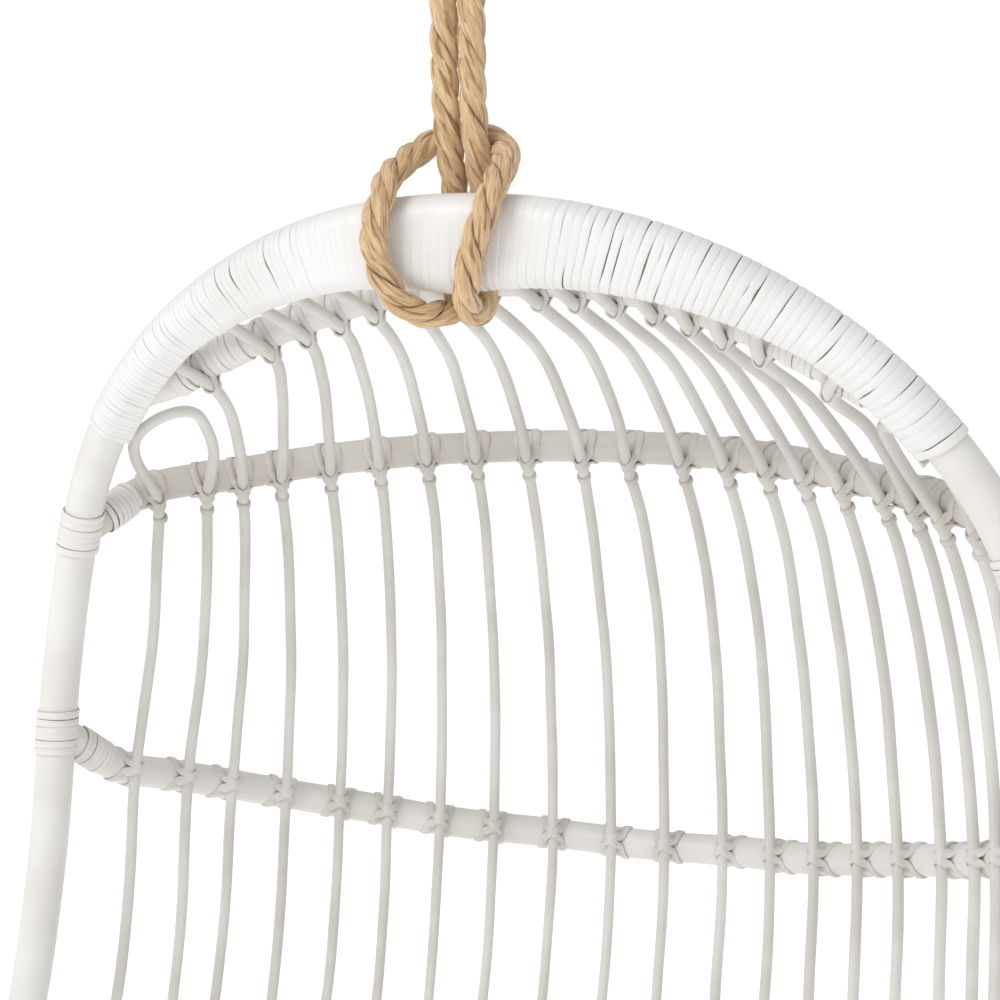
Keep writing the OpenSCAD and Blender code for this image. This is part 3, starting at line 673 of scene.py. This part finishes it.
def cane_down(i):
    """The lower part of a cane, from the upper hoop down the back and under the seat to the rim's front."""
    up, low, last = row_point(UPPER, i), row_point(LOWER, i), row_point(last_row(i), i)
    points = [
        up,
        up * 0.8 + low * 0.2 + [6 - 0.4 * i, 15 + i, 0],
        up * 0.45 + low * 0.55 + [7 - 0.5 * i, 20 + i, 0],
        low,
    ]
    for row in range(WAIST, last_row(i) + 1):
        here = row_point(row, i)
        points += [(row_point(row - 1, i) + here) / 2 + ROW_BOW[row - WAIST], here]
    bow = [0, -4, -22] if i < 2 else [0, -2, -9]
    rest = front_rest(i)
    return points + [(last + rest) / 2 + bow, rest, rest + 14 * unit(rest - last)]


def arch_rest(i):
    return at(ARCH_LINE, ARCH_AT[i]) + ARCH_REACH * across([0, 0, -1], along_at(ARCH_LINE, ARCH_AT[i]))


def cane_tip(i):
    x = ARCH_AT[i] + 0.06 * ARCH_AT[i]
    way = along_at(RIM_ARCH, x)
    filler = max(2, FILLER_MOST_R * (1 - 0.88 * x / FILLER_END_X))
    return at(RIM_ARCH, x) + (RIM_R + filler) * unit([way[2], 0, -way[0]]) + [0, 7, 0]


def cane_points(i):
    """A whole cane; its upper part bellies out behind the arch, more toward the middle."""
    rest, top = arch_rest(i), row_point(UPPER, i)
    belly = np.array([0, 10 + 3.5 * max(0, i - 5), 11 + 1.2 * max(0, i - 5)])
    bend = [rest * 0.62 + top * 0.38 + belly, rest * 0.25 + top * 0.75 + 0.7 * belly]
    return [cane_tip(i), rest] + bend + cane_down(i)


def make_cane(name, points, side, node):
    skin = Skin()
    path = even(placed(curve(points, 12) * [side, 1, 1]), 5.0)
    path = wandering(path, 0.35)
    tube(skin, path, uneven(path, CANE_R, 0.018), 14, (1, 0, 0))
    skin.build(name, CANE_SHADED, [node])


for label, side in (("left", -1), ("right", 1)):
    loop_points = cane_down(0)[::-1] + [np.array(p, float) for p in LOOP_TOP] + cane_down(1)
    make_cane("loop_cane_" + label + "_round", loop_points, side, "loop_cane_" + label)
    for i in range(2, 10):
        make_cane(f"cane_{label}_{i + 1}_round", cane_points(i), side, f"cane_{label}_{i + 1}")


# ---- lashings ----

def strap(skin, pole_at, a, inside, up, r, lean, top_x, side_x, lift, wide, thick):
    """One closed strap round a pole and over the front of a cane; lean is 1 or -1, the way it crosses."""
    reach = r + CANE_R + GAP
    on_pole, on_cane = r + lift, CANE_R + lift
    psi = np.radians([24, 45, 68, 90, 125, 160, 200, 235, 270, 292, 315, 336])
    x = np.array([side_x, 0.5 * (side_x + top_x), top_x, top_x, 0.7 * top_x, 0.25 * top_x])
    x = lean * np.concatenate([x, -x[::-1]])
    pole_part = np.column_stack([x, on_pole * np.cos(psi), on_pole * np.sin(psi)])
    pole_out = np.column_stack([0 * psi, np.cos(psi), np.sin(psi)])
    beta = np.radians([-82, -42, 0, 42, 82])
    cane_part = np.column_stack([
        lean * on_cane * np.sin(beta), reach + on_cane * np.cos(beta), 3.2 * beta / 1.4])
    cane_out = np.column_stack([lean * np.sin(beta), np.cos(beta), 0 * beta])
    local = curve(np.concatenate([cane_part, pole_part]), 3, loop=True)
    out = unit(curve(np.concatenate([cane_out, pole_out]), 3, loop=True))
    basis = np.stack([a, inside, up])
    strip(skin, placed(pole_at + local @ basis), out @ basis, wide, thick, 10, STRAP_CROWN, loop=True)


def collar(skin, place, way, x_way, radius, wide, thick, tilt):
    """A turn of peel round a cane or pole, tilted a little."""
    q = np.linspace(0, 2 * np.pi, 25)[:-1]
    x = across(x_way, way)
    y = np.cross(way, x)
    out = np.cos(q)[:, None] * x + np.sin(q)[:, None] * y
    ring = place + (radius + 0.1) * out + (tilt * np.sin(q))[:, None] * way
    strip(skin, placed(ring), out, wide, thick, 8, STRAP_CROWN, loop=True)


def lashing(skin, pole_at, cane_at, a, b, r, side, style="cross", wide=7.0):
    """Peel tied round a pole, which runs along a, and the cane that crosses it along b."""
    flip = np.array([side, 1, 1])
    pole_at, cane_at, a, b = pole_at * flip, cane_at * flip, unit(a * flip), unit(b * flip)
    a = -a if a[0] < 0 else a
    b = -b if b[2] < 0 else b
    inside = across(cane_at - pole_at, a)
    up = across(across(b, inside), a)
    up = -up if up[2] < 0 and abs(up[2]) > 0.3 else up
    slip = rng.uniform(-0.6, 0.6)
    args = (skin, pole_at, a, inside, up, r)
    if style == "cross":
        strap(*args, 1, 9.2 + slip, 7.2, 0.2, 1.15 * wide, 2.6)
        strap(*args, -1, 8.8 - slip, 7.0, 0.5, wide, 2.4)
    elif style == "collar":
        strap(*args, 1, 8.4 + slip, 6.8, 0.2, wide, 2.8)
        strap(*args, -1, 7.6 - slip, 6.2, 0.5, 0.85 * wide, 2.4)
        collar(skin, cane_at - (r + 1.6) * b, b, a, CANE_R, 5.0, 2.8, 0.8 + slip)
    else:
        strap(*args, 1, 5.8 + slip, 5.8, 0.3, wide, 2.4)
        strap(*args, -1, 5.4, 5.6, 0.5, 0.9 * wide, 2.2)


def cane_way(row, i):
    """A cane's direction where it crosses a hoop. LOOP_TOP starts at cane 0 and ends at cane 1."""
    start = [np.array(LOOP_TOP[-i], float)] + cane_down(i) if i < 2 else cane_points(i)
    path = curve(start, 8)
    k = np.argmin(np.linalg.norm(path - row_point(row, i), axis=1))
    return ways(path)[k]


for row in range(6):
    skin = Skin()
    path = curve(hoop_half(row), 12)
    path_ways = ways(path)
    for i in range(10):
        if CROSSINGS[row][i] == 0:
            continue
        cane_at = row_point(row, i)
        k = np.argmin(np.linalg.norm(path - cane_at, axis=1))
        a = path_ways[k]
        pole_at = path[k] + ((cane_at - path[k]) @ a) * a
        for side in (-1, 1):
            style = "collar" if row == UPPER else "cross"
            lashing(skin, pole_at, cane_at, a, cane_way(row, i), HOOP_R, side, style)
    # the upper lashings take the darker paint: painted shade under the arch
    paint = BACK_LASH_SHADED if row == UPPER else LASH
    skin.build(ROW_NAMES[row] + "_peel_lashings", paint, [ROW_NAMES[row] + "_lashings"])

skin = Skin()
for i in range(10):
    a = along_at(RIM_FRONT, FRONT_AT[i])
    b = unit(front_rest(i) - row_point(last_row(i), i))
    for side in (-1, 1):
        lashing(skin, at(RIM_FRONT, FRONT_AT[i]), front_rest(i), a, b, RIM_R, side, "tight", 6.5)
skin.build("front_peel_lashings", LASH, ["front_lashings"])

skin = Skin()
for i in range(2, 10):
    a = along_at(ARCH_LINE, ARCH_AT[i])
    b = unit(arch_rest(i) - cane_tip(i))
    for side in (-1, 1):
        lashing(skin, at(ARCH_LINE, ARCH_AT[i]), arch_rest(i), a, b, ARCH_R, side, "tight", 5.0)
skin.build("arch_peel_lashings", LASH, ["arch_lashings"])


# ---- bindings ----

def wound(skin, path, radius, pitch, wide, thick, crown, start=(0, 0, 1)):
    """A strip wound round a path in a helix with uneven turns."""
    s = lengths(path)
    along, side, third = carried(path, start)
    turns = s[-1] / pitch
    n = int(turns * 30)
    f = np.linspace(0, 1, n)
    angle = f * turns * 2 * np.pi
    place = f * s[-1] + waves(angle, [2 * np.pi * 3.7, 2 * np.pi * 1.6], [0.05 * pitch, 0.06 * pitch])
    place = np.clip(place, 0, s[-1])
    pick = [np.stack([np.interp(place, s, v[:, k]) for k in range(3)], 1) for v in (path, side, third)]
    out = np.cos(angle)[:, None] * pick[1] + np.sin(angle)[:, None] * pick[2]
    lift = radius + thick / 2 + 0.12 * np.abs(waves(angle, [2 * np.pi * 2.3], [1.0]))
    w = wide * (1 + waves(angle, [2 * np.pi * 1.3, 2 * np.pi * 0.61], [0.03, 0.03]))
    strip(skin, pick[0] + lift[:, None] * out, out, w, thick, 10, crown)


rim_skin = Skin()
for row in range(6):
    count = 6 if row < WAIST else 4
    near = rim_line[np.argmin(np.linalg.norm(rim_line - np.array(LINES[row][-1], float), axis=1))]
    join_index = int(np.argmin(np.linalg.norm(rim_fine - near, axis=1)))
    window = np.roll(rim_fine, -join_index + 40, 0)[:81]
    fine = even(window, 1.0)
    middle = int(np.argmin(np.linalg.norm(fine - near, axis=1)))
    span = 17 if row < WAIST else 13
    part = fine[middle - span:middle + span + 1]
    half = hoop_half(row)
    hoop = even(curve(half, 12)[::-1], 1.0)
    for side in (-1, 1):
        rim_part = placed(part * [side, 1, 1])
        wound(rim_skin, rim_part, RIM_R, 2 * span / count, 2 * span / count * 1.04, 1.7, 0.75, (0, 1, 0))
        hoop_part = placed(hoop[:(30 if row < WAIST else 22)] * [side, 1, 1])
        wound(rim_skin, hoop_part, HOOP_R, 4.6, 4.8, 1.5, 0.8)
rim_skin.build("peel_bindings", WORN, ["hoop_bindings"])

skin = Skin()
arch_half = even(curve(ARCH_LINE, 12), 1.0)
start = int(np.argmin(np.abs(arch_half[:, 0] - 205)))
for side in (-1, 1):
    wound(skin, placed(arch_half[start:start + 26] * [side, 1, 1]), ARCH_R, 5.0, 5.2, 1.2, 0.7)
    wound(skin, placed(arch_half[-14:] * [side, 1, 1]), ARCH_R, 4.6, 4.8, 1.3, 0.7)
skin.build("back_arch_bindings", WORN, ["arch_bindings"])

# ---- the wrapped arch ----

arch_path = even(curve(both_sides(RIM_ARCH), 24), 1.0)
arch_s = lengths(arch_path)
arch_ways = ways(arch_path)
arch_down = unit(np.cross([0, 1, 0], arch_ways))
arch_off = np.abs(arch_path[:, 0])
arch_filler = np.maximum(2, FILLER_MOST_R * (1 - 0.88 * arch_off / FILLER_END_X))


def round_oval(place, fraction, lift):
    """Points and outward directions on the outline round the rim and its filler, at places along the arch."""
    pick = [np.stack([np.interp(place, arch_s, v[:, k]) for k in range(3)], 1)
            for v in (arch_path, arch_ways, arch_down)]
    centre, way, down = pick[0], unit(pick[1]), unit(pick[2])
    side = np.cross(way, down)
    filler = np.interp(place, arch_s, arch_filler)
    big, small = RIM_R + lift, filler + lift
    d = RIM_R + filler + GAP
    turn = np.pi / 2 + np.arcsin(np.clip((big - small) / d, -1, 1))
    straight = np.sqrt(np.maximum(d**2 - (big - small) ** 2, 0))
    total = 2 * (big * turn + straight + small * (np.pi - turn))
    t = (fraction % 1) * total
    mirror = np.where(t > total / 2, -1.0, 1.0)
    t = np.where(t > total / 2, total - t, t)
    on_big = t <= big * turn
    on_flat = ~on_big & (t <= big * turn + straight)
    phi = np.where(on_big, t / big, np.where(on_flat, turn, turn + (t - big * turn - straight) / small))
    phi = np.minimum(phi, np.pi)
    normal = -np.cos(phi)[:, None] * down + (mirror * np.sin(phi))[:, None] * side
    flat_share = np.where(on_flat, (t - big * turn) / straight, np.where(on_big, 0.0, 1.0))[:, None]
    start_point = centre + big[:, None] * normal
    end_point = centre + d[:, None] * down + small[:, None] * normal
    return start_point * (1 - flat_share) + end_point * flat_share, normal


# the rim and filler under the wrap, coloured dark: brown cane and painted shade in the wrap's gaps
def make_arch_core():
    skin = Skin()
    use = np.where(arch_off <= WRAP_END_X - 3)[0][::6]
    sides = 40
    rings = []
    for i in use:
        f = np.arange(sides) / sides
        points, _ = round_oval(np.full(sides, arch_s[i]), f, np.full(sides, 0.25))
        rings.append(placed(points)[::-1])
    skin.grid(np.array(rings), 120.0, arch_s[use])
    skin.build("arch_core_canes_and_shade", CORE_SHADE, ["arch_filler"])


def make_arch_wrap():
    """One long strip of peel wound round the rim and its filler cane, turn by turn from left to right."""
    skin = Skin()
    low = arch_s[np.where(arch_off <= WRAP_END_X)[0][0]] + 3
    high = arch_s[np.where(arch_off <= WRAP_END_X)[0][-1]] - 3
    middle = 0.5 * (low + high)
    edges = [low]
    while edges[-1] < high:
        x = edges[-1] - middle
        pitch = 4.3 if x < -190 else 5.2 if x < -80 else 7.0 if x < 60 else 6.4
        edges.append(edges[-1] + pitch * rng.uniform(0.9, 1.1))
    edges = np.array(edges)
    per_turn = 44
    turn_count = len(edges) - 1
    f = np.arange(turn_count * per_turn + 1) / per_turn
    place = np.interp(f, np.arange(len(edges)), edges)
    pitch = np.interp(f, np.arange(turn_count) + 0.5, np.diff(edges))
    x = place - middle
    calm = np.exp(-((x + 18) / 78.0) ** 4)
    wave = waves(f, [0.83, 0.37, 2.9], [0.035, 0.025, 0.05]) * pitch * (1 - 0.8 * calm)
    wide = pitch * (1.07 + 0.30 * calm + waves(f, [0.71, 0.29], [0.015, 0.015]))
    for _ in range(int(turn_count * 0.8)):
        at_turn = rng.uniform(0, turn_count)
        here, across_x = np.interp(at_turn, f, calm), np.interp(at_turn, f, x)
        if rng.uniform() < 0.93 * here or (across_x < -60 and rng.uniform() < 0.75):
            continue
        reach = rng.uniform(0.03, 0.12)
        depth = rng.uniform(0.08, 0.16) if rng.uniform() < 0.75 else rng.uniform(0.17, 0.24)
        wide = wide - pitch * depth * np.exp(-((f - at_turn) / reach) ** 4)
    rounded = np.clip((-x - 60) / 120, 0, 1)
    thick = 1.35 + 0.45 * rounded + 0.45 * np.clip((x - 40) / 80, 0, 1)
    lift = 0.3 + thick / 2 + 0.08 * waves(f, [1.7, 0.9], [0.7, 0.5]) * (1 - 0.8 * calm)
    points, normal = round_oval(place, 0.5 + f, lift)
    way = np.stack([np.interp(place, arch_s, arch_ways[:, k]) for k in range(3)], 1)
    points = points + wave[:, None] * way
    strip(skin, placed(points), normal, wide, thick, 14, STRAP_CROWN - 0.45 * calm)
    skin.build("arch_peel_wrap", PEEL, ["arch_wrap"])


make_arch_core()
make_arch_wrap()

# ---- floor and light ----

FLOOR_Z = -1.9
FLOOR_REACH = 30
floor_mesh = bpy.data.meshes.new("floor")
floor_corners = [(FLOOR_REACH * x, FLOOR_REACH * y, FLOOR_Z) for x, y in ((-1, -1), (1, -1), (1, 1), (-1, 1))]
floor_mesh.from_pydata(floor_corners, [], [(0, 1, 2, 3)])
floor = bpy.data.objects.new("floor", floor_mesh)
bpy.context.scene.collection.objects.link(floor)
floor_material, floor_tree, floor_bsdf = shader("floor")
floor_noise = noise(floor_tree, add(floor_tree, "ShaderNodeTexCoord").outputs["Object"], 2.0)
floor_colour = mix(floor_tree, floor_noise, (0.95, 0.95, 0.95, 1), (0.97, 0.97, 0.97, 1))
floor_tree.links.new(floor_colour, floor_bsdf.inputs["Base Color"])
floor_bsdf.inputs["Roughness"].default_value = 0.9
floor_bsdf.inputs["Emission Color"].default_value = (1, 1, 1, 1)
floor_bsdf.inputs["Emission Strength"].default_value = 0.42
floor_mesh.materials.append(floor_material)

FILL = 0.68
world = bpy.data.worlds.new("studio")
world.use_nodes = True
backdrop = world.node_tree.nodes["Background"]
backdrop.inputs["Color"].default_value = (1.0, 1.0, 1.0, 1)
seen = add(world.node_tree, "ShaderNodeLightPath").outputs["Is Camera Ray"]
world.node_tree.links.new(ramp(world.node_tree, seen, 0.0, 1.0, FILL, 1.02), backdrop.inputs["Strength"])
bpy.context.scene.world = world


def area_light(name, place, target, size, power):
    data = bpy.data.lights.new(name, "AREA")
    data.shape = "DISK"
    data.size = size
    data.energy = power
    lamp = bpy.data.objects.new(name, data)
    lamp.location = place
    direction = np.array(target) - np.array(place)
    lamp.rotation_euler = (
        math.atan2(math.hypot(direction[0], direction[1]), -direction[2]),
        0,
        math.atan2(direction[1], direction[0]) - math.pi / 2,
    )
    bpy.context.scene.collection.objects.link(lamp)


area_light("key", (-1.3, -2.6, 1.7), (0, 0, -0.7), 2.2, 57)
bpy.context.scene.view_settings.view_transform = "Standard"
